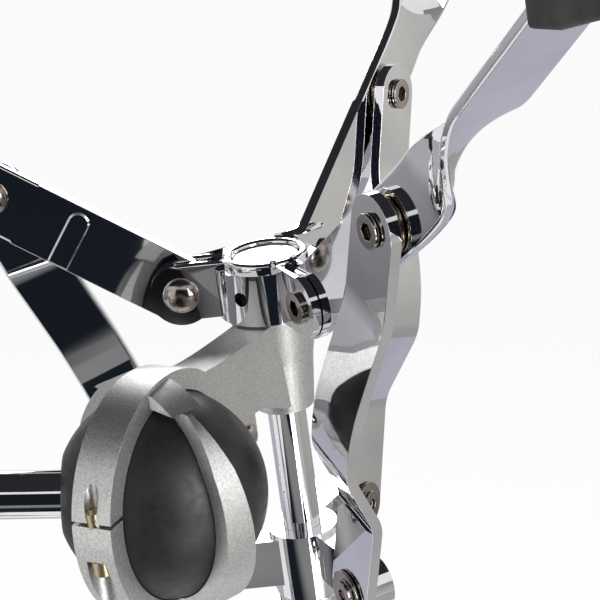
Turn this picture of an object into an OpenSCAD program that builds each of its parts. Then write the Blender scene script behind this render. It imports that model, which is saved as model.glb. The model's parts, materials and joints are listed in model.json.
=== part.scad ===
// Snare drum stand: a basket with three folding arms on a ball tilter,
// held by a horizontal post on a height-adjustable, double-braced tripod.
// Millimetres, +Z up. Origin on the floor, on the axis of the upright tubes.

/* [Basket] */
// Distance of the hub pivots from the basket axis
hub_pivot_r = 25; // [23:0.1:29]
// Arm length from hub pivot to strut pivot
arm_link = 60.3; // [54:0.1:64]
// Angle of the arms above the basket plane
arm_angle = 34.8; // [32:0.1:38]
// Arm length from hub pivot to the rubber
arm_len = 170; // [150:1:190]
// Thickness of the arm and strut strip
strip_t = 3.2; // [2.5:0.1:3.5]
// Width of the arm strip
arm_w = 19.5; // [17:0.5:21]
// Width of the strut strip
strut_w = 18.5; // [15:0.5:19]
// Distance of the collar pivots from the basket axis
low_pivot_r = 31.5; // [28:0.5:33]
// Strut length between its pivots
strut_len = 128.5; // [122:0.5:136]
// Diameter of the pivot bolts
bolt_d = 6; // [5:0.5:6.5]
// Diameter of the centre tube
rod_d = 11.3; // [10:0.1:12.7]
// Diameter of the hub body
hub_d = 30; // [28:0.5:33]

/* [Ball tilter] */
// Diameter of the ball
ball_d = 55.4; // [50:0.2:60]
// Reach from the basket axis to the ball centre
ball_r = 69; // [65:0.1:74]
// Drop from the hub pivots to the ball centre
ball_drop = 32.7; // [31:0.5:38]
// Thickness of the clamp rim outside the ball
rim_t = 5; // [4.5:0.5:6]
// Width of the clamp ring and the cast arm
cast_w = 11.4; // [10:0.2:14]
// Direction of the fingers, from the plane of the ring
finger_turn = 67.7; // [60:0.1:75]
// Sideways tilt of the basket
tilt = 7.1; // [0:0.1:10]

/* [Post] */
// Diameter of the horizontal post
post_d = 12.7; // [10:0.1:14]
// Height of the post above the floor
post_h = 470; // [450:5:520]
// Distance from the upright axis to the ball centre
post_reach = 90; // [85:1:110]

/* [Column] */
// Diameter of the base tube
base_d = 25.4; // [24:0.1:28.6]
// Diameter of the upper tube
upper_d = 19.1; // [18:0.1:20]
// Wall of both tubes
wall = 1.6; // [1.2:0.1:2]
// Length of the column between the base tube and the post
tube_show = 118; // [105:1:130]

/* [Tripod] */
// Leg length from pivot to the middle of the foot
leg_len = 330; // [320:5:340]
// Leg angle from the vertical
leg_angle = 58; // [55:1:60]
// Distance from a leg's ends of the brace to its pivots
brace_len = 120; // [110:1:125]
// Width of the leg strips
leg_w = 18; // [16:0.5:20]
// Direction of the first leg
leg_az = 27; // [0:1:60]

/* [Hidden] */
$fn = 64;
gap = 0.3;
run = 0.05;

// basket frame: z = 0 is the plane of the hub pivots
basket_turn = -3.4;
arm_az = [180, 300, 60];
ball_az = -115.8;
ball_x = ball_r * cos(ball_az + basket_turn);
ball_y = ball_r * sin(ball_az + basket_turn);
// the ball centre in the tilted basket, seen from the hub
bx = ball_x * cos(tilt) + ball_drop * sin(tilt);
bz = ball_x * sin(tilt) - ball_drop * cos(tilt);
hub_pos = [post_reach - bx, -ball_y, post_h - bz];

half_t = strip_t / 2;
ear_in = half_t + gap;
ear_t = 2.4;
ear_out = ear_in + ear_t;
head_h = 1.2;
washer_t = 1;
strut_y = -(half_t + washer_t + gap + half_t);
low_y = strut_y + 2.8;
lug_t = 7.5;
up_r = hub_pivot_r + arm_link * cos(arm_angle);
up_z = arm_link * sin(arm_angle);
strut_angle = asin((up_r - low_pivot_r) / strut_len);
low_z = up_z - strut_len * cos(strut_angle);
open_d = 10.4;
hub_top = 7;
hub_bot = -8;
boss_bot = -38.2;
twist_from = arm_link + 16;
twist_len = 32;
// the arm lifts a little after the strut pivot
lift = 5;
tail_x = hub_pivot_r + twist_from * cos(arm_angle);
tail_z = twist_from * sin(arm_angle);
tail_angle = arm_angle + lift;
tail_len = arm_len - twist_from;
// length of the strip inside the rubber
tail_in = 14;
rib_x = 35;
rib_h = 0.8;
ball_rad = ball_d / 2;
seat_r = ball_rad + gap;
rim_r = seat_r + rim_t;
split_z = 7.5;
screw_d = 4;
screw_x = -(seat_r + 0.4 + screw_d / 2);
pin_x = rim_r + 4.5;
pin_z = -1;
leg_pin_r = base_d / 2 + 13.5;
slot_h = 13.4;
foot_z = 12;
leg_z = foot_z + leg_len * cos(leg_angle);
brace_z = leg_z - 2 * brace_len * cos(leg_angle);
tube_top = post_h - 16;
base_top = post_h - tube_show;
leg_in = 4 + gap;
leg_t = 2.5;
pin_d = 5;

module place() {
  translate(hub_pos) rotate([0, -tilt, 0]) rotate([0, 0, basket_turn]) children();
}
module at_arm(i) {
  place() rotate([0, 0, arm_az[i]]) children();
}
module at_arm_line(i) {
  at_arm(i) translate([hub_pivot_r, 0, 0]) rotate([0, -arm_angle, 0]) children();
}
module at_tail(i) {
  at_arm(i) translate([tail_x, 0, tail_z]) rotate([0, -tail_angle, 0]) children();
}
module at_strut(i) {
  at_arm(i) translate([up_r, 0, up_z]) rotate([0, strut_angle, 0]) children();
}
module at_clamp() {
  place() rotate([0, 0, ball_az + 180]) translate([-ball_r, 0, -ball_drop]) children();
}
module at_leg(i) {
  rotate([0, 0, leg_az + 120 * i]) children();
}
// cylinder along Y from y0 to y1
module ycyl(d, y0, y1) {
  translate([0, y1, 0]) rotate([90, 0, 0]) cylinder(d = d, h = y1 - y0);
}
// cylinder along X from x0 to x1
module xcyl(d, x0, x1) {
  translate([x0, 0, 0]) rotate([0, 90, 0]) cylinder(d = d, h = x1 - x0);
}
module pipe(od, id, z0, z1) {
  difference() {
    translate([0, 0, z0]) cylinder(d = od, h = z1 - z0);
    translate([0, 0, z0 - 1]) cylinder(d = id, h = z1 - z0 + 2);
  }
}
// socket head from y0 towards -Y
module socket_head(d, y0, stem) {
  difference() {
    union() {
      ycyl(d, y0 - head_h, y0);
      ycyl(stem, y0 - 0.5, y0 + 3);
    }
    translate([0, y0 + 2.4, 0]) rotate([90, 0, 0]) cylinder(d = min(d * 0.54, stem - 1), h = 8, $fn = 6);
  }
}
// domed head from y0 towards +Y
module dome_head(d, y0, h) {
  n = 8;
  translate([0, y0, 0]) rotate([-90, 0, 0]) rotate_extrude()
    polygon(concat([[0, 0]], [for (k = [0:n]) [d / 2 * cos(90 * k / n), h * sin(90 * k / n)]]));
}
// screw with two wings: the stem runs along X from 0, the wings lie beyond it
module wing_screw(d, stem) {
  xcyl(d, 0, stem + 1);
  xcyl(13, stem, stem + 11);
  difference() {
    union() {
      for (s = [-1, 1]) translate([stem + 10, 0, s * 12]) ycyl(17, -2.2, 2.2);
      translate([stem + 1, -2.2, -12]) cube([12, 4.4, 24]);
    }
    for (s = [-1, 1]) translate([stem + 11, 0, s * 13]) ycyl(6, -3, 3);
  }
}

// column and tripod
module base_tube() {
  color("gainsboro") pipe(base_d, base_d - 2 * wall, brace_z - 26, base_top);
}
module brace_collar() {
  color("silver") {
    difference() {
      union() {
        translate([0, 0, brace_z - 20]) cylinder(d = base_d + 7, h = 36);
        translate([0, 0, brace_z - 29]) cylinder(d = base_d + 7, h = 9);
        for (i = [0:2]) at_leg(i) for (s = [-1, 1])
          translate([base_d / 2, s * 4.6 - 2, brace_z - slot_h - 6])
            cube([22, 4, 2 * slot_h + 12]);
      }
      translate([0, 0, brace_z - 26]) cylinder(d = base_d, h = 60);
      for (i = [0:2]) at_leg(i) for (z = [-slot_h, slot_h])
        translate([leg_pin_r, 0, brace_z + z]) ycyl(pin_d + 0.6, -8, 8);
      for (i = [0:2]) at_leg(i)
        translate([leg_pin_r - pin_d / 2 - 0.3, -8, brace_z - slot_h])
          cube([pin_d + 0.6, 16, 2 * slot_h]);
    }
  }
}
module tube_bushing() {
  color("dimgray") {
    pipe(base_d - 2 * wall, upper_d + 2 * run, base_top - 40, base_top);
    pipe(base_d, upper_d + 2 * run, base_top, base_top + 3);
  }
}
module height_clamp() {
  color("silver") difference() {
    union() {
      translate([0, 0, base_top - 24]) cylinder(d = base_d + 11, h = 36);
      translate([0, 0, base_top - 6]) xcyl(18, -32, 0);
    }
    translate([0, 0, base_top - 25]) cylinder(d = base_d, h = 28);
    translate([0, 0, base_top + 2]) cylinder(d = upper_d + 2 * run, h = 12);
    translate([0, 0, base_top - 6]) xcyl(7 + 2 * run, -34, -base_d / 2 - 1);
  }
}
module height_wing() {
  color("gainsboro") translate([-base_d / 2 - 1, 0, base_top - 6])
    rotate([0, 0, 180]) wing_screw(7, 20);
}
module memory_lock() {
  color("silver") difference() {
    union() {
      translate([0, 0, base_top + 46]) cylinder(d = upper_d + 13, h = 15);
      translate([0, 0, base_top + 53.5]) rotate([0, 0, 90]) xcyl(12, 0, 19);
    }
    translate([0, 0, base_top + 45]) cylinder(d = upper_d, h = 17);
    translate([0, 0, base_top + 53.5]) rotate([0, 0, 90]) xcyl(6 + 2 * run, upper_d / 2, 20);
  }
}
module memory_screw() {
  color("dimgray") translate([0, 0, base_top + 53.5]) rotate([0, 0, 90])
    translate([upper_d / 2 + 0.5, 0, 0]) {
      xcyl(6, 0, 9);
      difference() {
        xcyl(10, 9.8, 16);
        translate([13.5, 0, 0]) rotate([0, 90, 0]) cylinder(d = 4.6, h = 4, $fn = 4);
      }
      xcyl(6, 8, 11);
    }
}
module upper_tube() {
  color("gainsboro") pipe(upper_d, upper_d - 2 * wall, base_top - 200, tube_top);
}
module leg_collar() {
  color("silver") difference() {
    union() {
      translate([0, 0, leg_z - 16]) cylinder(d = base_d + 9, h = 32);
      for (i = [0:2]) at_leg(i) {
        translate([0, -4, leg_z - 9]) cube([leg_pin_r, 8, 18]);
        translate([leg_pin_r, 0, leg_z]) ycyl(18, -4, 4);
      }
      translate([0, 0, leg_z]) rotate([0, 0, leg_az + 180]) xcyl(17, 0, 25);
    }
    translate([0, 0, leg_z - 17]) cylinder(d = base_d + 2 * run, h = 34);
    for (i = [0:2]) at_leg(i) translate([leg_pin_r, 0, leg_z]) ycyl(pin_d, -5, 5);
    translate([0, 0, leg_z]) rotate([0, 0, leg_az + 180]) xcyl(6 + 2 * run, 10, 26);
  }
}
module leg_collar_wing() {
  color("gainsboro") translate([0, 0, leg_z]) rotate([0, 0, leg_az + 180])
    translate([base_d / 2 + 0.5, 0, 0]) wing_screw(6, 13);
}
module leg_pins() {
  color("gray") for (i = [0:2]) at_leg(i) translate([leg_pin_r, 0, leg_z]) {
    ycyl(pin_d, -leg_in - leg_t - gap, leg_in + leg_t + gap);
    dome_head(9, leg_in + leg_t + gap, 2.6);
    mirror([0, 1, 0]) dome_head(9, leg_in + leg_t + gap, 2.6);
  }
}
// along the leg: +X runs from the leg pivot to the foot
module leg_line(i) {
  at_leg(i) translate([leg_pin_r, 0, leg_z]) rotate([0, 90 - leg_angle, 0]) children();
}
module leg(i) {
  color("gainsboro") leg_line(i) for (s = [-1, 1]) difference() {
    union() {
      translate([0, s * (leg_in + leg_t / 2) - leg_t / 2, -leg_w / 2])
        cube([leg_len - 4, leg_t, leg_w]);
      for (x = [0, leg_len - 4]) translate([x, s * (leg_in + leg_t / 2), 0])
        ycyl(leg_w, -leg_t / 2, leg_t / 2);
    }
    translate([0, s * (leg_in + leg_t / 2), 0]) ycyl(pin_d + 2 * run, -3, 3);
    translate([brace_len, s * (leg_in + leg_t / 2), 0]) ycyl(pin_d, -3, 3);
    translate([leg_len - 22, s * (leg_in + leg_t / 2), 0]) ycyl(4, -3, 3);
  }
}
module brace_pin(i) {
  color("gray") leg_line(i) translate([brace_len, 0, 0]) {
    ycyl(pin_d, -leg_in - leg_t, leg_in + leg_t);
    dome_head(9, leg_in + leg_t, 2.6);
    mirror([0, 1, 0]) dome_head(9, leg_in + leg_t, 2.6);
  }
}
module foot(i) {
  color("dimgray") difference() {
    union() {
      at_leg(i) translate([leg_pin_r + leg_len * sin(leg_angle), 0, 0]) cylinder(d = 34, h = 17);
      leg_line(i) translate([leg_len - 34, -11, -12]) cube([32, 22, 23]);
    }
    leg_line(i) for (s = [-1, 1]) {
      translate([leg_len - 60, s * (leg_in + leg_t / 2) - leg_t / 2, -leg_w / 2])
        cube([56, leg_t, leg_w]);
      translate([leg_len - 4, s * (leg_in + leg_t / 2), 0]) ycyl(leg_w, -leg_t / 2, leg_t / 2);
    }
    translate([0, 0, -40]) cylinder(r = 500, h = 40);
  }
}
// along the brace: +X runs from its pivot on the leg to the brace collar
module brace_line(i) {
  leg_line(i) translate([brace_len, 0, 0]) rotate([0, 180 - 2 * (90 - leg_angle), 0]) children();
}
module brace(i) {
  color("gainsboro") brace_line(i) difference() {
    union() {
      translate([0, -2, -7]) cube([brace_len, 4, 14]);
      ycyl(14, -leg_in + gap, leg_in - gap);
      translate([brace_len, 0, 0]) ycyl(14, -2, 2);
    }
    ycyl(pin_d + 2 * run, -5, 5);
    translate([brace_len, 0, 0]) ycyl(pin_d, -5, 5);
  }
}
module tip_pin(i) {
  color("gray") brace_line(i) translate([brace_len, 0, 0]) {
    ycyl(pin_d, -7.2, 7.2);
    dome_head(8.6, 7.2, 2.4);
    mirror([0, 1, 0]) dome_head(8.6, 7.2, 2.4);
  }
}
module top_bracket() {
  color("silver") difference() {
    union() {
      translate([0, 0, tube_top - 24]) cylinder(d = upper_d + 12, h = 32);
      translate([0, 0, post_h]) xcyl(post_d + 15, -19, 19);
      translate([0, 0, post_h]) ycyl(17, -24, 0);
    }
    translate([0, 0, tube_top - 25]) cylinder(d = upper_d + 2 * run, h = 25 + gap);
    translate([0, 0, post_h]) xcyl(post_d + 2 * run, -20, 20);
    translate([0, 0, post_h]) ycyl(7 + 2 * run, -25, -post_d / 2);
  }
}
module bracket_wing() {
  color("gainsboro") translate([0, -post_d / 2 - 0.5, post_h]) rotate([0, 0, -90])
    wing_screw(7, 18.5);
}
module post() {
  color("gainsboro") translate([0, 0, post_h]) xcyl(post_d, -48, post_reach + 8);
}
module post_cap() {
  color("dimgray") translate([0, 0, post_h]) difference() {
    xcyl(post_d + 4, -53, -34);
    xcyl(post_d, -48, -33);
  }
}

// ball tilter
module ball() {
  color("black") translate([post_reach, 0, post_h]) rotate([0, 90, 0]) rotate_extrude()
    difference() {
      circle(r = ball_rad, $fn = 96);
      translate([-60, -60]) square([60, 120]);
      translate([-1, -ball_rad - 8]) square([60, 10.2]);
      translate([-1, -ball_rad - 1]) square([post_d / 2 + run + 1, ball_rad + 9 + gap]);
    }
}
// the ball's seat, with the poles of the sphere in the open windows
module seat() {
  rotate([0, 90, finger_turn / 2]) sphere(r = seat_r);
}
// shell round the ball in the XZ plane of the clamp
module ring_shell(w, r) {
  difference() {
    ycyl(2 * r, -w / 2, w / 2);
    seat();
  }
}
// top line of the cast arm, from the ring to the boss
function arm_top(x) = ball_drop + hub_bot - 1 + 7.1 * exp(-(x - 2) / 17);
module clamp_arm() {
  x0 = seat_r * 0.43;
  color("silver") at_clamp() difference() {
    union() {
      // upper half of the ring in the plane of the arm
      intersection() {
        ring_shell(cast_w, rim_r);
        translate([-50, -20, split_z]) cube([100, 40, 60]);
      }
      // the fingers' plane over the top of the ball
      intersection() {
        rotate([0, 0, finger_turn]) ring_shell(9, rim_r - 0.5);
        translate([-30, -30, seat_r - 0.4]) cube([60, 60, 20]);
      }
      // cast arm up to the boss under the hub
      rotate([90, 0, 0]) translate([0, 0, -cast_w / 2]) linear_extrude(cast_w)
        polygon(concat([for (k = [0:16]) let (x = x0 + (ball_r - x0) * k / 16) [x, arm_top(x)]],
          [[ball_r, ball_drop + boss_bot + 2], [ball_r - 9, ball_drop + boss_bot + 2.5],
            [ball_r - 15, 0.5], [ball_r - 22, 3.4], [rim_r + 1.8, 4.6], [rim_r - 2, split_z],
            [seat_r - 1, split_z + 4], [seat_r - 6, split_z + 12]]));
      // boss round the centre tube
      translate([ball_r, 0, ball_drop + boss_bot])
        cylinder(d1 = 17, d2 = 20, h = (hub_bot - boss_bot) * 0.5);
      translate([ball_r, 0, ball_drop + boss_bot + (hub_bot - boss_bot) * 0.5])
        cylinder(d1 = 20, d2 = 26, h = (hub_bot - boss_bot) * 0.5);
      // hinge ear on the hub side
      translate([pin_x, 0, pin_z]) ycyl(9, -cast_w / 2, cast_w / 2);
      translate([pin_x - 4.5, -cast_w / 2, pin_z]) cube([9, cast_w, 7]);
    }
    seat();
    translate([ball_r, 0, ball_drop + hub_bot]) cylinder(d = hub_d + 2, h = 40);
    translate([ball_r, 0, ball_drop + boss_bot - 1]) cylinder(d = rod_d, h = 40);
    translate([screw_x, 0, split_z - 1]) cylinder(d = screw_d + 2 * run, h = 40);
    translate([pin_x, 0, pin_z]) ycyl(4, -20, 20);
    // room for the jaw's knuckle
    translate([pin_x, 0, pin_z]) ycyl(10.2, -2.3, 2.3);
    translate([pin_x - 12, -2.3, pin_z - 10]) cube([12, 4.6, 10 + split_z - pin_z]);
  }
}
module clamp_jaw() {
  jaw_top = split_z - 1;
  color("silver") at_clamp() difference() {
    union() {
      // lower part of the ring
      intersection() {
        ycyl(2 * rim_r, -cast_w / 2, cast_w / 2);
        translate([-50, -20, jaw_top - 60]) cube([68, 40, 60]);
      }
      intersection() {
        ycyl(2 * rim_r, -cast_w / 2, cast_w / 2);
        translate([10, -20, -68]) cube([50, 40, 60]);
      }
      // fingers, narrowing upwards
      intersection() {
        rotate([0, 0, finger_turn]) ycyl(2 * rim_r - 1, -7, 7);
        rotate([0, 0, finger_turn]) rotate([90, 0, 90]) translate([0, 0, -50])
          linear_extrude(100) polygon([[-6.6, -36], [6.6, -36], [4.1, 0], [3.2, 14],
            [0.7, seat_r - 1], [-0.7, seat_r - 1], [-3.2, 14], [-4.1, 0]]);
      }
      // knuckle and its web from the lower part of the ring
      translate([pin_x, 0, pin_z]) ycyl(8.4, -2, 2);
      translate([seat_r + 0.6, -2, -14]) cube([4, 4, 14 + pin_z]);
      translate([seat_r + 0.6, -2, pin_z - 3.5]) cube([pin_x - seat_r - 0.6, 4, 5.5]);
    }
    seat();
    translate([screw_x, 0, -20]) cylinder(d = screw_d + 2 * run, h = 40);
    translate([screw_x, 0, -40]) cylinder(d = 7.4, h = 37);
    translate([pin_x, 0, pin_z]) ycyl(4 + 2 * run, -20, 20);
  }
}
module clamp_screw() {
  color("goldenrod") at_clamp() translate([screw_x, 0, 0]) difference() {
    union() {
      translate([0, 0, -4.4]) cylinder(d = screw_d, h = split_z + 6.9);
      translate([0, 0, -7]) cylinder(d = screw_d + 1.6, h = 4 - run);
    }
    translate([0, 0, -8]) cylinder(d = 3.2, h = 3, $fn = 6);
  }
}
module jaw_pin() {
  color("gray") at_clamp() translate([pin_x, 0, pin_z]) {
    ycyl(4, -cast_w / 2, cast_w / 2);
    dome_head(7, cast_w / 2, 1.8);
    mirror([0, 1, 0]) dome_head(7, cast_w / 2, 1.8);
  }
}

// basket
module hub() {
  color("gainsboro") place() difference() {
    union() {
      translate([0, 0, hub_bot]) cylinder(d = hub_d, h = hub_top - hub_bot);
      translate([0, 0, hub_top]) cylinder(d = 24.5, h = 2.2);
      for (i = [0:2]) rotate([0, 0, arm_az[i]]) for (s = [-1, 1])
        translate([0, s * (ear_in + ear_out) / 2, 0]) {
          translate([8, -ear_t / 2, hub_bot + 0.4])
            cube([hub_pivot_r - 8, ear_t, 8.6 - hub_bot]);
          translate([hub_pivot_r, 0, 0])
            ycyl(18, -ear_t / 2, ear_t / 2);
        }
    }
    // slots for the arms
    for (i = [0:2]) rotate([0, 0, arm_az[i]])
      translate([hub_pivot_r - arm_w / 2 - 0.6, -ear_in, -20]) cube([40, 2 * ear_in, 40]);
    translate([0, 0, hub_bot - 1]) cylinder(d = rod_d, h = 15);
    translate([0, 0, hub_top - 2]) cylinder(d = 19.2, h = 6);
    for (i = [0:2]) rotate([0, 0, arm_az[i]]) translate([hub_pivot_r, 0, 0])
      ycyl(bolt_d, -20, 20);
    rotate([0, 0, 240]) xcyl(4.2, 5, 30);
  }
}
module hub_cap() {
  color("white") place() translate([0, 0, hub_top - 2]) {
    cylinder(d = 19, h = 2.6);
    translate([0, 0, 2.6]) cylinder(d1 = 19, d2 = 17.4, h = 0.4);
  }
}
module centre_tube() {
  color("gainsboro") place() translate([0, 0, -152]) cylinder(d = rod_d, h = 155);
}
module set_screw() {
  color("dimgray") place() rotate([0, 0, 240]) difference() {
    xcyl(4.2, 6.5, 11.5);
    translate([9.5, 0, 0]) rotate([0, 90, 0]) cylinder(d = 2.2, h = 4, $fn = 6);
  }
}
module hub_bolts() {
  color("silver") for (i = [0:2]) at_arm(i) translate([hub_pivot_r, 0, 0]) {
    ycyl(bolt_d, -ear_out + 2.6, ear_out);
    socket_head(9.2, -ear_out, bolt_d);
    dome_head(10.5, ear_out, 3.2);
  }
}
module arm(i) {
  color("gainsboro") {
    at_arm_line(i) difference() {
      union() {
        translate([0, -half_t, -arm_w / 2]) cube([twist_from, strip_t, arm_w]);
        ycyl(arm_w, -half_t, half_t);
        // pressed rib on the face away from the strut
        translate([rib_x - 2.9, 0, 0.6 - arm_w / 2]) cube([5.8, half_t + rib_h, 14]);
        translate([rib_x, 0, 14.6 - arm_w / 2]) ycyl(5.8, 0, half_t + rib_h);
      }
      ycyl(bolt_d + 2 * run, -5, 5);
      translate([arm_link, 0, 0]) ycyl(bolt_d, -5, 5);
    }
    at_tail(i) {
      translate([-1, 0, 0]) rotate([0, 90, 0])
        linear_extrude(height = twist_len + 1, twist = 90, slices = 12, $fn = 4)
          square([arm_w, strip_t], center = true);
      translate([twist_len, -arm_w / 2, -half_t])
        cube([tail_len + tail_in - twist_len, arm_w, strip_t]);
    }
  }
}
module rubber(i) {
  w = 26;
  // outline in the upright plane through the arm, from the rubber's start
  hook = [[-2, -7], [8, -6], [22, -2], [27, 6], [27, 50], [24, 54], [8, 54], [5, 51], [5, 47],
    [8, 44], [14, 44], [17, 41], [17, 16], [14, 13], [-3, 6.5]];
  color("dimgray") difference() {
    at_arm(i) translate([tail_x + tail_len * cos(tail_angle), 0, tail_z + tail_len * sin(tail_angle)])
      rotate([90, 0, 0]) translate([0, 0, -w / 2]) linear_extrude(w) polygon(hook);
    at_tail(i) translate([0, -arm_w / 2, -half_t]) cube([tail_len + tail_in, arm_w, strip_t]);
  }
}
// sideways path of the strut: out past the hub bolt, then in to the collar
bow = [[0, 0], [0.195, 0], [0.406, -6.4], [0.484, -7.6], [0.578, -7.4], [0.742, low_y - strut_y],
  [1, low_y - strut_y]];
module strut(i) {
  side = concat([for (b = bow) [strut_y + b[1] - half_t, -b[0] * strut_len]],
    [for (k = [6:-1:0]) [strut_y + bow[k][1] + half_t, -bow[k][0] * strut_len]]);
  color("gainsboro") at_strut(i) difference() {
    union() {
      rotate([90, 0, 90]) translate([0, 0, -strut_w / 2]) linear_extrude(strut_w) polygon(side);
      ycyl(strut_w, strut_y - half_t, strut_y + half_t);
      translate([0, 0, -strut_len]) ycyl(strut_w, low_y - half_t, low_y + half_t);
    }
    ycyl(bolt_d + 2 * run, -30, 0);
    translate([0, 0, -strut_len]) ycyl(open_d, -30, 10);
  }
}
module strut_bolt(i) {
  y_head = strut_y - half_t - gap;
  color("silver") at_arm(i) translate([up_r, 0, up_z]) {
    ycyl(bolt_d, y_head + 2.6, half_t);
    dome_head(10.5, half_t, 3.2);
    socket_head(9.2, y_head, bolt_d);
  }
}
module brass_ring(i) {
  color("goldenrod") at_arm(i) translate([up_r, 0, up_z]) difference() {
    ycyl(14.8, -half_t - washer_t, -half_t);
    ycyl(bolt_d + 2 * run, -half_t - 3, half_t);
  }
}
module lower_collar() {
  color("gainsboro") place() difference() {
    union() {
      translate([0, 0, low_z - 12]) cylinder(d = 21, h = 21);
      for (i = [0:2]) rotate([0, 0, arm_az[i]]) {
        translate([0, low_y + half_t + gap, low_z - 7.5]) cube([low_pivot_r, lug_t, 15]);
        translate([low_pivot_r, 0, low_z])
          ycyl(15, low_y + half_t + gap, low_y + half_t + gap + lug_t);
      }
    }
    translate([0, 0, low_z - 20]) cylinder(d = rod_d + 2 * run, h = 40);
    for (i = [0:2]) rotate([0, 0, arm_az[i]]) translate([low_pivot_r, 0, low_z])
      ycyl(pin_d, -20, 20);
  }
}
module collar_bolts() {
  y0 = low_y + half_t + gap + lug_t;
  y1 = low_y - half_t - gap;
  color("silver") for (i = [0:2]) at_arm(i) translate([low_pivot_r, 0, low_z]) {
    ycyl(pin_d, y1 + 1.6, y0);
    ycyl(14, y1 - 1, y1);
    socket_head(8.8, y1 - 1, pin_d);
    dome_head(8.8, y0, 2.6);
  }
}
module basket_nut() {
  color("gainsboro") place() translate([0, 0, low_z - 12 - gap - 20]) difference() {
    union() {
      cylinder(d = 32, h = 14);
      cylinder(d = 20, h = 20);
    }
    translate([0, 0, -1]) cylinder(d = rod_d + 2 * run, h = 30);
  }
}

base_tube();
brace_collar();
tube_bushing();
height_clamp();
height_wing();
memory_lock();
memory_screw();
upper_tube();
leg_collar();
leg_collar_wing();
leg_pins();
leg(0);  // leg_1
leg(1);  // leg_2
leg(2);  // leg_3
brace(0);  // brace_1
brace(1);  // brace_2
brace(2);  // brace_3
foot(0);  // foot_1
foot(1);  // foot_2
foot(2);  // foot_3
brace_pin(0);  // brace_pin_1
brace_pin(1);  // brace_pin_2
brace_pin(2);  // brace_pin_3
tip_pin(0);  // tip_pin_1
tip_pin(1);  // tip_pin_2
tip_pin(2);  // tip_pin_3
top_bracket();
bracket_wing();
post();
post_cap();
ball();
clamp_arm();
clamp_jaw();
clamp_screw();
jaw_pin();
hub();
hub_cap();
centre_tube();
set_screw();
hub_bolts();
lower_collar();
collar_bolts();
basket_nut();
arm(0);  // arm_1
arm(1);  // arm_2
arm(2);  // arm_3
strut(0);  // strut_1
strut(1);  // strut_2
strut(2);  // strut_3
strut_bolt(0);  // strut_bolt_1
strut_bolt(1);  // strut_bolt_2
strut_bolt(2);  // strut_bolt_3
brass_ring(0);  // brass_ring_1
brass_ring(1);  // brass_ring_2
brass_ring(2);  // brass_ring_3
rubber(0);  // rubber_1
rubber(1);  // rubber_2
rubber(2);  // rubber_3
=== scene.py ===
# %% [markdown]
# # Snare drum stand
# The stand is packed as a set of solids that move on joints. This lesson dresses those solids: it
# rounds their edges, gives each metal, rubber and nylon its finish, and lights them as a product
# picture. Everything is in metres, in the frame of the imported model, so no piece is fitted by eye.

# %% Load the frame
import bpy
import bmesh
import json
from math import pi, radians
from mathutils import Matrix, Vector


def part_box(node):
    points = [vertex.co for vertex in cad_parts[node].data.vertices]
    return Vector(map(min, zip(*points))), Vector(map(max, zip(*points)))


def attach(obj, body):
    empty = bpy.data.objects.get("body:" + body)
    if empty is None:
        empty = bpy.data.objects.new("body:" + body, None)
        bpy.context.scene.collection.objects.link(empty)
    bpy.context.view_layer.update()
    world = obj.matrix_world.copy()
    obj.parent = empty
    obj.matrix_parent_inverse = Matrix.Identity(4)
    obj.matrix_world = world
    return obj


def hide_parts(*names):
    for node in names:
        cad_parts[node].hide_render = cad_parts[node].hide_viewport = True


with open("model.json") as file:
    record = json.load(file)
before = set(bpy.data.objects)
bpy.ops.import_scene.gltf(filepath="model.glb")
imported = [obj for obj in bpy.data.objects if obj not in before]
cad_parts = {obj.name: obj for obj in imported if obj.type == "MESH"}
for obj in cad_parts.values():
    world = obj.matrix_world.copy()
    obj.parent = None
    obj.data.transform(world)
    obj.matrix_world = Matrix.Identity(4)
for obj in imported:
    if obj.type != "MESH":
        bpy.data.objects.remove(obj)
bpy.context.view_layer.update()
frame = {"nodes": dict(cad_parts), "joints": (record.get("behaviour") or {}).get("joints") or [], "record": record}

# %% [markdown]
# ## The camera
# The picture was taken close up with a long lens, a little above the basket. The camera stands
# 52 cm from the hub and looks down by 20 degrees, which is what the ellipse of the hub's cap shows.
# Its place and its two axes came from fitting the pivots of the basket to the picture.

# %% Camera
camera_place = (0.10929, -0.43113, 0.68282)
camera_right = Vector((0.9992, -0.0385, 0.0003)).normalized()
camera_back = Vector((-0.0362, -0.9370, 0.3473)).normalized()

camera_data = bpy.data.cameras.new("studio_camera")
camera_data.lens = 109.65
camera_data.sensor_width = 36.0
camera_data.clip_start = 0.01
camera = bpy.data.objects.new("studio_camera", camera_data)
bpy.context.scene.collection.objects.link(camera)
camera_up = camera_back.cross(camera_right).normalized()
camera_right = camera_up.cross(camera_back)
camera_turn = Matrix((camera_right, camera_up, camera_back)).transposed().to_4x4()
camera.matrix_world = Matrix.Translation(camera_place) @ camera_turn
bpy.context.scene.camera = camera
print("camera at", [round(v, 3) for v in camera.matrix_world.translation])

# %% [markdown]
# ## Uneven shine
# Real metal is never even: plating, polish and handling leave patches that are a little duller. A
# painted picture could hold them, but it needs an unwrapped surface and blurs close up. So a noise
# pattern picks a roughness between two values. Several finishes use it, so it is a node group, and
# it reads Object coordinates, so the pattern stays on the piece as it moves.


# %% Uneven shine
def start_group(name, inputs, outputs):
    group = bpy.data.node_groups.new(name, "ShaderNodeTree")
    for label, value in inputs:
        socket = group.interface.new_socket(name=label, in_out="INPUT",
                                            socket_type="NodeSocketFloat")
        socket.default_value = value
    for label in outputs:
        group.interface.new_socket(name=label, in_out="OUTPUT", socket_type="NodeSocketFloat")
    return group, group.nodes.new("NodeGroupInput"), group.nodes.new("NodeGroupOutput")


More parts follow.
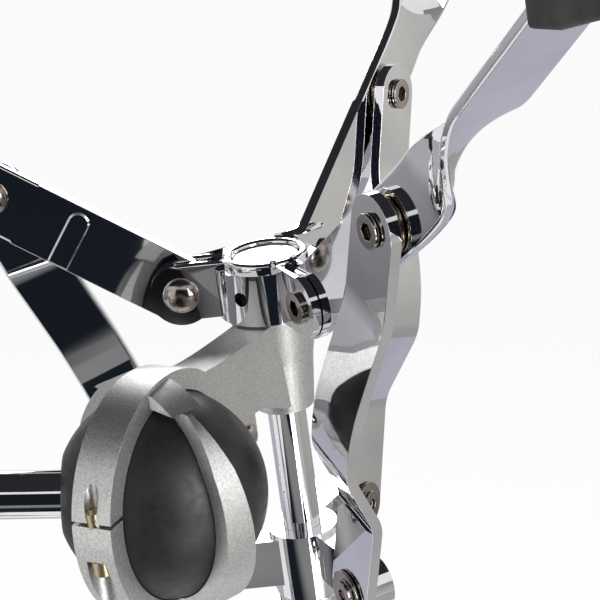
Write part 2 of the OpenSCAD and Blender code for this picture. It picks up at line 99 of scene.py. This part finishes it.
def make_uneven_shine():
    group, given, result = start_group(
        "uneven_shine", [("Scale", 60.0), ("Low", 0.1), ("High", 0.3)], ["Roughness", "Mask"])
    coords = group.nodes.new("ShaderNodeTexCoord")
    noise = group.nodes.new("ShaderNodeTexNoise")
    noise.inputs["Detail"].default_value = 5.0
    spread = group.nodes.new("ShaderNodeMapRange")
    spread.inputs["From Min"].default_value = 0.35
    spread.inputs["From Max"].default_value = 0.65
    link = group.links.new
    link(coords.outputs["Object"], noise.inputs["Vector"])
    link(given.outputs["Scale"], noise.inputs["Scale"])
    link(noise.outputs["Fac"], spread.inputs["Value"])
    link(given.outputs["Low"], spread.inputs["To Min"])
    link(given.outputs["High"], spread.inputs["To Max"])
    link(spread.outputs["Result"], result.inputs["Roughness"])
    link(noise.outputs["Fac"], result.inputs["Mask"])
    return group


uneven_shine = make_uneven_shine()
print("shader group:", uneven_shine.name)

# %% [markdown]
# ## Surface grain
# Sand casting, moulding and rubber leave grains far too small to model. So a second group gives a
# height for a Bump node: cells make the grains, noise makes the unevenness between them, and each
# finish chooses the share of the two.


# %% Surface grain
def make_surface_grain():
    group, given, result = start_group(
        "surface_grain", [("Fine", 2500.0), ("Coarse", 500.0), ("Coarse Part", 0.4)],
        ["Height", "Specks"])
    coords = group.nodes.new("ShaderNodeTexCoord")
    fine = group.nodes.new("ShaderNodeTexVoronoi")
    coarse = group.nodes.new("ShaderNodeTexNoise")
    coarse.inputs["Detail"].default_value = 4.0
    blend = group.nodes.new("ShaderNodeMix")
    blend.data_type = "FLOAT"
    link = group.links.new
    link(coords.outputs["Object"], fine.inputs["Vector"])
    link(coords.outputs["Object"], coarse.inputs["Vector"])
    link(given.outputs["Fine"], fine.inputs["Scale"])
    link(given.outputs["Coarse"], coarse.inputs["Scale"])
    link(given.outputs["Coarse Part"], blend.inputs["Factor"])
    link(fine.outputs["Distance"], blend.inputs["A"])
    link(coarse.outputs["Fac"], blend.inputs["B"])
    link(blend.outputs["Result"], result.inputs["Height"])
    link(fine.outputs["Distance"], result.inputs["Specks"])
    return group


surface_grain = make_surface_grain()
print("shader group:", surface_grain.name)

# %% [markdown]
# ## Mirror chrome
# Each finish is one Principled BSDF. Steady numbers sit on the shader's own sockets. Only what
# changes over the surface is wired: roughness, the tint of the base colour and the bump. The first
# is the chrome of the strips, the tubes and the hub. It is polished, so it takes almost all its
# tone from what it mirrors, and its bump is no grain but the slow waviness of a polished strip.


# %% Mirror chrome
def finish_material(name, dark, light, metallic, shine, grain, bump, bump_mm, tint_scale=40.0):
    material = bpy.data.materials.new(name)
    material.use_nodes = True
    nodes, link = material.node_tree.nodes, material.node_tree.links.new
    shader = nodes["Principled BSDF"]
    shader.inputs["Metallic"].default_value = metallic

    def group_node(group, labels, values):
        node = nodes.new("ShaderNodeGroup")
        node.node_tree = group
        for label, value in zip(labels, values):
            node.inputs[label].default_value = value
        return node

    gloss = group_node(uneven_shine, ("Scale", "Low", "High"), shine)
    link(gloss.outputs["Roughness"], shader.inputs["Roughness"])
    tint = group_node(uneven_shine, ("Scale", "Low", "High"), (tint_scale, 0.0, 1.0))
    ramp = nodes.new("ShaderNodeValToRGB")
    ramp.color_ramp.elements[0].color = (*dark, 1)
    ramp.color_ramp.elements[1].color = (*light, 1)
    link(tint.outputs["Roughness"], ramp.inputs["Fac"])
    link(ramp.outputs["Color"], shader.inputs["Base Color"])
    texture = group_node(surface_grain, ("Fine", "Coarse", "Coarse Part"), grain)
    relief = nodes.new("ShaderNodeBump")
    relief.inputs["Strength"].default_value = bump
    relief.inputs["Distance"].default_value = bump_mm / 1000
    link(texture.outputs["Height"], relief.inputs["Height"])
    link(relief.outputs["Normal"], shader.inputs["Normal"])
    return material


chrome = finish_material("mirror_chrome", (0.70, 0.70, 0.72), (0.80, 0.80, 0.81), 1.0,
                         (35, 0.025, 0.06), (90, 28, 1.0), 0.06, 0.4)
print("finish:", chrome.name)

# %% [markdown]
# ## Metals, rubber and nylon
# The ball's clamp is sand cast and keeps its sparkle, which is a very fine and strong change of
# tint and shine. Bolts are plated and a little brown. The hub's cap is only satin, so it mirrors
# the pale ground without a hard line. Rubber and nylon mirror little and are dull all over.

# %% Metals, rubber and nylon
cast =finish_material("sand_cast_aluminium", (0.50, 0.50, 0.49), (0.70, 0.70, 0.69), 1.0,
                       (2600, 0.34, 0.52), (3400, 1500, 0.45), 0.6, 0.06, 1900)
plated = finish_material("plated_steel", (0.22, 0.19, 0.17), (0.44, 0.40, 0.37), 1.0,
                         (300, 0.10, 0.24), (900, 500, 0.6), 0.12, 0.05)
dark_steel = finish_material("blackened_steel", (0.03, 0.03, 0.033), (0.08, 0.08, 0.085), 0.8,
                             (400, 0.25, 0.45), (1500, 700, 0.5), 0.3, 0.05)
brass = finish_material("plain_brass", (0.38, 0.30, 0.19), (0.58, 0.47, 0.31), 1.0,
                        (300, 0.16, 0.34), (900, 500, 0.6), 0.15, 0.05)
rubber = finish_material("soft_rubber", (0.030, 0.028, 0.026), (0.055, 0.050, 0.046), 0.0,
                         (250, 0.55, 0.78), (1800, 700, 0.4), 0.5, 0.12, 60)
nylon = finish_material("black_nylon", (0.008, 0.008, 0.009), (0.013, 0.013, 0.015), 0.0,
                        (500, 0.40, 0.52), (2600, 900, 0.4), 0.3, 0.04, 90)
white_cap = finish_material("satin_cap", (0.84, 0.84, 0.85), (0.90, 0.90, 0.91), 1.0,
                            (200, 0.10, 0.16), (900, 500, 0.6), 0.05, 0.05)
finishes = {"chrome": chrome, "cast_aluminium": cast, "plated_steel": plated,
            "dark_steel": dark_steel, "brass": brass, "rubber": rubber, "nylon": nylon}
print("finishes:", ", ".join(sorted(finishes)))

# %% [markdown]
# ## A copy of a solid
# A solid arrives as loose triangles, also where the real face is flat, and an edge can't be rounded
# well between slivers. So each solid is copied, its corners are merged, and triangles that lie in
# one plane are joined into one face, as a maker would see it.

# %% Copy a solid and join its flat faces
merge_distance = 2e-6
flat_degrees = 0.6


def merged_copy(node):
    bm = bmesh.new()
    bm.from_mesh(frame["nodes"][node].data)
    bmesh.ops.remove_doubles(bm, verts=bm.verts, dist=merge_distance)
    return bm


def join_flat_faces(bm):
    bmesh.ops.dissolve_limit(bm, angle_limit=radians(flat_degrees), verts=bm.verts,
                             edges=bm.edges)


print("faces within", flat_degrees, "degrees of each other are joined")

# %% [markdown]
# ## Rounded edges
# No stamped, cast or turned edge is a knife edge: the thin bright line along an edge is what makes
# chrome read as chrome. A Bevel modifier would give a whole piece one width. The bevel operator
# takes a list of edges, so one piece can have a wide round here and a narrow one there.

# %% Find sharp edges and round them
common_sharp = 28


def sharp_edges(bm, degrees=common_sharp):
    return [e for e in bm.edges if e.is_manifold and e.calc_face_angle(0) > radians(degrees)]


def round_edges(bm, edges, width_mm, segments, clamp=True):
    bmesh.ops.bevel(bm, geom=edges, offset=width_mm / 1000, offset_type="OFFSET",
                    affect="EDGES", segments=segments, profile=0.5, clamp_overlap=clamp,
                    material=-1)


print("edges of most pieces are rounded from", common_sharp, "degrees")

# %% [markdown]
# ## The finished piece takes the solid's place
# Smooth shading bends the light over the flat faces beside a round, and flat chrome then mirrors
# as if it were dented. A Weighted Normal modifier lets the large faces decide, so a flat face
# mirrors as a flat face. The piece moves with its solid's body and is shown instead of the solid.

# %% Put the finished piece in the solid's place
slot_of = {s["node"]: s["material_slot"] for s in frame["record"]["subparts"]}
body_of = {n: b for b, members in frame["record"]["behaviour"]["bodies"].items() for n in members}


def stand_for(node, bm, material, smooth_below=35):
    name = node + "_finished"
    mesh = bpy.data.meshes.new(name)
    bm.to_mesh(mesh)
    bm.free()
    mesh.materials.append(material)
    mesh.shade_smooth()
    mesh.set_sharp_from_angle(angle=radians(smooth_below))
    piece = bpy.data.objects.new(name, mesh)
    bpy.context.scene.collection.objects.link(piece)
    flat_faces = piece.modifiers.new("flat_faces", "WEIGHTED_NORMAL")
    flat_faces.weight = 80
    flat_faces.keep_sharp = True
    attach(piece, body_of[node])
    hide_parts(node)
    return piece


print("bodies:", len(set(body_of.values())), "material slots:", len(set(slot_of.values())))

# %% [markdown]
# ## Most of the solids
# Castings and rubber get a wide round, tubes and strips a narrow one. The widths are in
# millimetres, and a node without its own width takes that of its kind, or a quarter millimetre.
# The hub, the arms, the struts and the ball need more than that, so they wait.

# %% Round the edges of most solids
common_width = 0.25
edge_width = {"clamp_arm": 0.7, "clamp_jaw": 0.6, "rubber": 1.2, "foot": 1.2, "leg": 0.4,
              "brace": 0.4, "top_bracket": 0.9, "height_clamp": 0.9, "memory_lock": 0.6,
              "leg_collar": 0.7, "brace_collar": 0.7, "lower_collar": 0.7, "basket_nut": 0.7,
              "base_tube": 0.3, "upper_tube": 0.3, "height_wing": 0.6, "bracket_wing": 0.6,
              "leg_collar_wing": 0.6}
rounded = []
for node in sorted(frame["nodes"]):
    kind = node.rstrip("_0123456789")
    if kind in ("arm", "strut", "ball", "hub"):
        continue
    bm = merged_copy(node)
    join_flat_faces(bm)
    width = edge_width.get(node, edge_width.get(kind, common_width))
    round_edges(bm, sharp_edges(bm), width, 2)
    material = white_cap if node == "hub_cap" else finishes[slot_of[node]]
    rounded.append(stand_for(node, bm, material))
print("rounded:", len(rounded), "solids")

# %% [markdown]
# ## The hub
# The hub is a polished casting: the ring round its cap is fully rounded, and its other edges only
# lightly. The ring's two circles are found by their height on the hub's own axis, and get a wide
# round before the rest gets a narrow one. Clamping is off for the ring, because the short edges
# of a circle would otherwise hold its round back.

# %% Hub
ring_tolerance = 0.0003
joints = {j["name"]: j for j in frame["joints"]}
hub_axis =Vector(joints["nut_spin"]["axis"]).normalized()
hub_axis *= 1 if hub_axis.z > 0 else -1
bm = merged_copy("hub")
join_flat_faces(bm)
hub_top = max(v.co.dot(hub_axis) for v in bm.verts)
ring = [e for e in sharp_edges(bm)
        if all(hub_top - v.co.dot(hub_axis) < ring_tolerance for v in e.verts)]
round_edges(bm, ring, 1.2, 5, clamp=False)
hub_edges = sharp_edges(bm)
round_edges(bm, hub_edges, 0.8, 3)
stand_for("hub", bm, chrome)
print("hub ring edges:", len(ring), "other edges:", len(hub_edges))

# %% [markdown]
# ## The arms
# An arm is one strip of steel, gripped at the strut's bolt and twisted a quarter turn in a press, so
# that its end lies flat under the drum. The solid has this twist in coarse steps, and chrome shows
# every step. So the straight part is kept, cut off before the twist, and its open end is extruded
# in many small moves, each turned a little more, which is how a strip takes a twist.
#
# The work is done in the arm's own space: X runs along the strip from its pivot at the hub to the
# strut's bolt, and Y is square to the strip's flat face. Two joints of the frame give this space.

# %% An arm's own space
lift_at = 0.0763
lift_half = 0.0050
tail_lift = radians(5.0)
twist_delay = 0.0055
twist_length = 0.042


def arm_space(number):
    fold, strut = joints[f"arm_fold_{number}"], joints[f"strut_fold_{number}"]
    start, end = Vector(fold["pos_m"]), Vector(strut["pos_m"])
    along = (end - start).normalized()
    across = -Vector(fold["axis"]).normalized()
    turned = Matrix((along, across, along.cross(across))).transposed().to_4x4()
    return Matrix.Translation(start) @ turned


print("arm 1 starts at", [round(v, 4) for v in arm_space(1).translation])

# %% [markdown]
# ## The path of the twist
# Each step of the path is a matrix that says where a slice of the strip lies. First the strip
# lifts by 5 degrees along a short arc. Then it turns about its own length, slowly at both ends and
# fast in the middle, and last it runs straight to its end.


# %% Slices of the tail
def tail_slice(distance, quarter):
    """A slice at a distance past the lift, after a part of the quarter turn."""
    lift = Matrix.Rotation(-tail_lift, 4, "Y")
    place = Vector((lift_at, 0, 0)) + lift.to_3x3() @ Vector((distance, 0, 0))
    return Matrix.Translation(place) @ lift @ Matrix.Rotation(-quarter * pi / 2, 4, "X")


def strip_path(reach, lift_steps=10, twist_steps=48):
    path = [Matrix.Translation((lift_at - lift_half, 0, 0))]
    for k in range(1, lift_steps + 1):
        part = k / lift_steps
        lift = Matrix.Rotation(-tail_lift * part, 4, "Y")
        chord = Matrix.Rotation(-tail_lift * (part - 0.5 / lift_steps), 3, "Y")
        place = path[-1].translation + chord @ Vector((2 * lift_half / lift_steps, 0, 0))
        path.append(Matrix.Translation(place) @ lift)
    for k in range(twist_steps + 1):
        part = k / twist_steps
        eased = part * part * (3 - 2 * part)
        path.append(tail_slice(twist_delay + twist_length * part, eased))
    path.append(tail_slice(reach, 1.0))
    return path


print("slices in a strip's tail:", len(strip_path(0.1)))

# %% [markdown]
# ## Cutting and extruding
# `bisect_plane` cuts the strip before the lift, and leaves an open rim. The rim's long sides are
# divided, because one wide face can't follow a twist. Then the rim is extruded slice by slice, and
# each move is the step from the slice before to the slice after.

# %% Twist a strip
cut_thickness = 1e-7
wide_side = 0.004
side_cuts = 5


def strip_reach(bm):
    tail = Matrix.Rotation(-tail_lift, 3, "Y") @ Vector((1, 0, 0))
    return max((v.co - Vector((lift_at, 0, 0))).dot(tail) for v in bm.verts)


def cut_across(bm, x, clear_outer=False):
    bmesh.ops.bisect_plane(bm, geom=bm.verts[:] + bm.edges[:] + bm.faces[:], dist=cut_thickness,
                           plane_co=(x, 0, 0), plane_no=(1, 0, 0), clear_outer=clear_outer)


def twist_tail(bm):
    reach = strip_reach(bm)
    cut_across(bm, lift_at - lift_half, clear_outer=True)
    join_flat_faces(bm)
    sides = [e for e in bm.edges if e.is_boundary and e.calc_length() > wide_side]
    bmesh.ops.subdivide_edges(bm, edges=sides, cuts=side_cuts)
    rim = [e for e in bm.edges if e.is_boundary]
    path = strip_path(reach)
    for before, after in zip(path, path[1:]):
        grown = bmesh.ops.extrude_edge_only(bm, edges=rim)["geom"]
        verts = [g for g in grown if isinstance(g, bmesh.types.BMVert)]
        rim = [g for g in grown if isinstance(g, bmesh.types.BMEdge) and g.is_boundary]
        bmesh.ops.transform(bm, matrix=after @ before.inverted(), verts=verts)
    bmesh.ops.contextual_create(bm, geom=rim)
    bmesh.ops.recalc_face_normals(bm, faces=bm.faces)


print("strips are cut at", round((lift_at - lift_half) * 1000, 1), "mm from their pivot")

# %% [markdown]
# ## The arm's edges
# A drawn strip has well rounded long edges, and on the tail they are the brightest line of the
# arm. They get a wide round of five segments. The raised rib and the pivot end are pressed
# details with small features, so they get a narrow one that is kept from overlapping.

# %% Make the arms
past_rib = 0.050
past_head = 0.068
outline_height = 0.0085
tiny = 1e-5


def outline_edges(bm):
    """The strip's long edges: all of the tail's, and the straight part's outermost ones."""
    found = []
    for e in sharp_edges(bm, 30):
        in_tail = all(v.co.x > lift_at - lift_half - tiny for v in e.verts)
        outermost = all(abs(v.co.z) > outline_height for v in e.verts)
        if all(v.co.x > past_rib - tiny for v in e.verts) and (outermost or in_tail):
            found.append(e)
    return found


def make_arm(number):
    node = f"arm_{number}"
    space = arm_space(number)
    bm = merged_copy(node)
    bmesh.ops.transform(bm, matrix=space.inverted(), verts=bm.verts)
    twist_tail(bm)
    cut_across(bm, past_rib)
    round_edges(bm, outline_edges(bm), 1.0, 5, clamp=False)
    inner = [e for e in sharp_edges(bm, 30) if all(v.co.x < past_head for v in e.verts)]
    round_edges(bm, inner, 0.4, 3)
    bmesh.ops.transform(bm, matrix=space, verts=bm.verts)
    return stand_for(node, bm, chrome, 40)


arms = [make_arm(number) for number in (1, 2, 3)]
print("arms:", [len(a.data.polygons) for a in arms], "faces")

# %% [markdown]
# ## The struts
# A strut is the same strip, set sideways in a press tool so that it clears the hub's bolt when the
# basket folds. A press leaves a round inside and outside of every bend. Two bevels make it: a wide
# one across the bends, where the faces meet at a shallow angle, and a fine one along the edges.

# %% Struts
bend_length = 0.010
bend_angles = (radians(6), radians(60))


def make_strut(number):
    node = f"strut_{number}"
    bm = merged_copy(node)
    join_flat_faces(bm)
    bends = [e for e in bm.edges if e.is_manifold and e.calc_length() > bend_length
             and bend_angles[0] < e.calc_face_angle(0) < bend_angles[1]]
    bend_count = len(bends)
    round_edges(bm, bends, 3.5, 5)
    round_edges(bm, sharp_edges(bm, 60), 0.9, 4)
    stand_for(node, bm, chrome, 40)
    return bend_count


print("bends rounded on each strut:", [make_strut(number) for number in (1, 2, 3)])

# %% [markdown]
# ## The ball
# The ball is the one true sphere, so it is made fresh: a fine sphere, cut flat where the post
# enters. Its poles are turned to the post's axis, where the flat and the clamp hide them.

# %% Ball
ball_low, ball_high = (Vector(v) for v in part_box("ball"))
ball_radius = (ball_high.z - ball_low.z) / 2
ball_centre = Vector((ball_high.x - ball_radius, (ball_low.y + ball_high.y) / 2,
                      (ball_low.z + ball_high.z) / 2))
bm = bmesh.new()
bmesh.ops.create_uvsphere(bm, u_segments=128, v_segments=64, radius=ball_radius)
bmesh.ops.rotate(bm, verts=bm.verts, matrix=Matrix.Rotation(radians(90), 3, "Y"))
bmesh.ops.translate(bm, verts=bm.verts, vec=ball_centre)
cut = bmesh.ops.bisect_plane(bm, geom=bm.verts[:] + bm.edges[:] + bm.faces[:], dist=1e-6,
                             plane_co=(ball_low.x, 0, 0), plane_no=(1, 0, 0), clear_inner=True)
rim = [g for g in cut["geom_cut"] if isinstance(g, bmesh.types.BMEdge)]
bmesh.ops.contextual_create(bm, geom=rim)
stand_for("ball", bm, nylon)
print("ball radius", round(ball_radius * 1000, 2), "mm")

# %% [markdown]
# ## The pale ground
# The picture has a plain white ground. Lamps strong enough to turn a floor white would burn out
# the castings. So the floor is made white only to the camera and to mirror rays, and is plain
# paint to the diffuse light. A small part of the paint's own shading is kept for the camera too,
# so the stand still throws a faint shadow.


# %% Floor paint
def seen_or_mirrored(nodes, link):
    """A socket that is 1 for camera, mirror and transmission rays, and 0 for the rest."""
    rays = nodes.new("ShaderNodeLightPath")
    seen = nodes.new("ShaderNodeMath")
    seen.operation = "MAXIMUM"
    mirrored = nodes.new("ShaderNodeMath")
    mirrored.operation = "MAXIMUM"
    link(rays.outputs["Is Camera Ray"], seen.inputs[0])
    link(rays.outputs["Is Glossy Ray"], seen.inputs[1])
    link(seen.outputs[0], mirrored.inputs[0])
    link(rays.outputs["Is Transmission Ray"], mirrored.inputs[1])
    return mirrored.outputs[0]


white_share = 0.93
floor_paint = bpy.data.materials.new("floor_paint")
floor_paint.use_nodes = True
nodes, link = floor_paint.node_tree.nodes, floor_paint.node_tree.links.new
floor_shader = nodes["Principled BSDF"]
floor_shader.inputs["Base Color"].default_value = (0.93, 0.93, 0.93, 1)
floor_shader.inputs["Roughness"].default_value = 0.9
white = nodes.new("ShaderNodeEmission")
share = nodes.new("ShaderNodeMath")
share.operation = "MULTIPLY"
share.inputs[1].default_value = white_share
mix = nodes.new("ShaderNodeMixShader")
link(seen_or_mirrored(nodes, link), share.inputs[0])
link(share.outputs[0], mix.inputs[0])
link(floor_shader.outputs[0], mix.inputs[1])
link(white.outputs[0], mix.inputs[2])
link(mix.outputs[0], nodes["Material Output"].inputs["Surface"])
print("floor paint:", floor_paint.name, "white share", white_share)

# %% [markdown]
# ## The floor
# The floor is one flat face, 12 metres wide, so that the picture's camera never sees its edge. A
# photographer would use a curved sweep of paper. Here the world takes over in the same white.


# %% Floor
def sheet_object(name, width, height, material):
    bm = bmesh.new()
    bmesh.ops.create_grid(bm, x_segments=1, y_segments=1, size=0.5)
    bmesh.ops.scale(bm, vec=(width, height, 1), verts=bm.verts)
    mesh = bpy.data.meshes.new(name)
    bm.to_mesh(mesh)
    bm.free()
    mesh.materials.append(material)
    sheet = bpy.data.objects.new(name, mesh)
    bpy.context.scene.collection.objects.link(sheet)
    return sheet


floor = sheet_object("studio_floor", 12.0, 12.0, floor_paint)
print("floor:", floor.name)

# %% [markdown]
# ## The world
# The world is white to the camera and in mirrors, like the floor. To everything else it is a weak
# grey light, which keeps the shadows open without flattening what the lamps shape.

# %% World
world = bpy.data.worlds.new("studio_world")
bpy.context.scene.world = world
world.use_nodes = True
nodes, link = world.node_tree.nodes, world.node_tree.links.new
background = nodes["Background"]
background.inputs["Color"].default_value = (0.75, 0.75, 0.76, 1)
background.inputs["Strength"].default_value = 0.55
bright = nodes.new("ShaderNodeBackground")
bright.inputs["Color"].default_value = (1, 1, 1, 1)
choose = nodes.new("ShaderNodeMixShader")
link(seen_or_mirrored(nodes, link), choose.inputs[0])
link(background.outputs[0], choose.inputs[1])
link(bright.outputs[0], choose.inputs[2])
link(choose.outputs[0], nodes["World Output"].inputs["Surface"])
print("world:", world.name)

# %% [markdown]
# ## Lamps
# Four area lamps light the castings and the rubber. A point lamp would leave a hard dot on every
# round edge of the chrome. The key stands front right, and a low one beside it gives the bright
# patch on the boss under the hub. The left and back lamps only open the shadows.

# %% Lamps
basket_middle = (0.1, 0.0, 0.5)


def aim_at(item, place, aim):
    item.location = place
    item.rotation_euler = (Vector(aim) - Vector(place)).to_track_quat("-Z", "Y").to_euler()


def lamp(name, place, size, power):
    data = bpy.data.lights.new(name, "AREA")
    data.shape = "RECTANGLE"
    data.size, data.size_y = size
    data.energy = power
    item = bpy.data.objects.new(name, data)
    aim_at(item, place, basket_middle)
    bpy.context.scene.collection.objects.link(item)
    return item


lamps =[lamp("key_lamp", (0.75, -0.75, 0.75), (0.35, 0.7), 7),
         lamp("left_lamp", (-0.8, -0.55, 0.35), (0.5, 0.8), 1.2),
         lamp("low_lamp", (0.50, -0.60, 0.10), (0.3, 0.3), 1.7),
         lamp("back_lamp", (0.1, 1.0, 0.9), (0.9, 0.3), 7)]
print("lamps:", len(lamps))

# %% [markdown]
# ## The card behind the camera
# Chrome shows only what stands round it, and a photographer shapes it with black flags and grey
# papers. Here they are sheets that only mirrors see: they light no dull surface and throw no
# shadow. A panorama picture would also fill the mirrors, but a card can be placed face by face, by
# following the mirror ray. A card may fade to a second colour along a world axis, as a paper lit
# from one side does. The first is a navy flag behind the camera, which darkens the upright faces.


# %% Card behind the camera
def card(name, place, aim, size, colour, other=None, axis="Z", fade_range=(0, 1)):
    paint = bpy.data.materials.new(name + "_paint")
    paint.use_nodes = True
    nodes, link = paint.node_tree.nodes, paint.node_tree.links.new
    glow = nodes.new("ShaderNodeEmission")
    glow.inputs["Color"].default_value = (*colour, 1)
    if other:
        here = nodes.new("ShaderNodeNewGeometry")
        parts = nodes.new("ShaderNodeSeparateXYZ")
        fade = nodes.new("ShaderNodeMapRange")
        fade.inputs["From Min"].default_value, fade.inputs["From Max"].default_value = fade_range
        ramp = nodes.new("ShaderNodeValToRGB")
        ramp.color_ramp.interpolation = "EASE"
        ramp.color_ramp.elements[0].color = (*colour, 1)
        ramp.color_ramp.elements[1].color = (*other, 1)
        link(here.outputs["Position"], parts.inputs[0])
        link(parts.outputs[axis], fade.inputs["Value"])
        link(fade.outputs["Result"], ramp.inputs["Fac"])
        link(ramp.outputs["Color"], glow.inputs["Color"])
    link(glow.outputs[0], nodes["Material Output"].inputs["Surface"])
    sheet = sheet_object(name, *size, paint)
    aim_at(sheet, place, aim)
    sheet.visible_camera = False
    sheet.visible_shadow = False
    sheet.visible_diffuse = False
    return sheet


navy = (0.010, 0.014, 0.020)
camera_card = card("camera_card", (0.40, -0.95, 0.40), (0.40, 0.0, 0.40), (1.7, 1.15), navy)
print("card:", camera_card.name)

# %% [markdown]
# ## Black flags
# Three more flags stand overhead and behind the stand. They give the hub's ears, the strips and the
# tubes their dark bands, which make the bright ones look bright.

# %% Black flags
black = (0.026, 0.026, 0.030)
flags = [
    card("top_card", (0.0, 0.25, 1.30), (0.05, 0.20, 0.5), (2.2, 1.9), black),
    card("back_top_card", (0.1, 1.25, 1.22), (0.1, 0.0, 1.22), (2.4, 0.42), black),
    card("back_right_card", (0.62, 1.20, 0.85), (0.62, 0.0, 0.85), (0.72, 0.5),
         (0.045, 0.045, 0.05))]
print("black flags:", len(flags))

# %% [markdown]
# ## Grey papers
# Papers at the sides and low round the stand give the strips' broad faces a soft grey, warmer on
# the right and cooler on the left and behind. The world alone would leave them white on white.

# %% Grey papers
toward = (0.1, 0.0, 0.45)
papers = [
    card("left_card", (-0.75, 0.40, 0.32), (0.1, 0.1, 0.45), (1.5, 0.70),
         (0.20, 0.20, 0.22), (0.47, 0.47, 0.50), "Z", (0.0, 0.3)),
    card("right_card", (0.95, 0.35, 0.30), toward, (1.5, 0.75),
         (0.40, 0.39, 0.37), (0.62, 0.61, 0.58), "Z", (0.05, 0.5)),
    card("left_front_card", (-0.95, -0.45, 0.35), toward, (0.9, 0.9),
         (0.36, 0.36, 0.37), (0.12, 0.12, 0.13), "Z", (0.1, 0.8)),
    card("right_front_card", (1.2, -0.45, 0.35), toward, (0.9, 0.9),
         (0.52, 0.51, 0.49), (0.30, 0.30, 0.29), "Z", (0.1, 0.8)),
    card("back_low_card", (0.2, 0.70, 0.012), (0.2, 0.70, 1.0), (1.6, 1.0), (0.50, 0.50, 0.58)),
    card("right_low_card", (0.75, -0.15, 0.010), (0.75, -0.15, 1.0), (0.7, 0.8),
         (0.46, 0.45, 0.44)),
    card("front_low_card", (0.05, -0.58, 0.011), (0.05, -0.58, 1.0), (0.95, 0.72),
         (0.26, 0.26, 0.26), navy, "Y", (-0.68, -0.46))]
print("grey papers:", len(papers))

# %% [markdown]
# ## Tones
# The Standard view shows each tone as it was mixed. A filmic view would pull the white ground down
# to grey, and the picture's ground is plain white.

# %% View
bpy.context.scene.view_settings.view_transform = "Standard"
print("view:", bpy.context.scene.view_settings.view_transform)
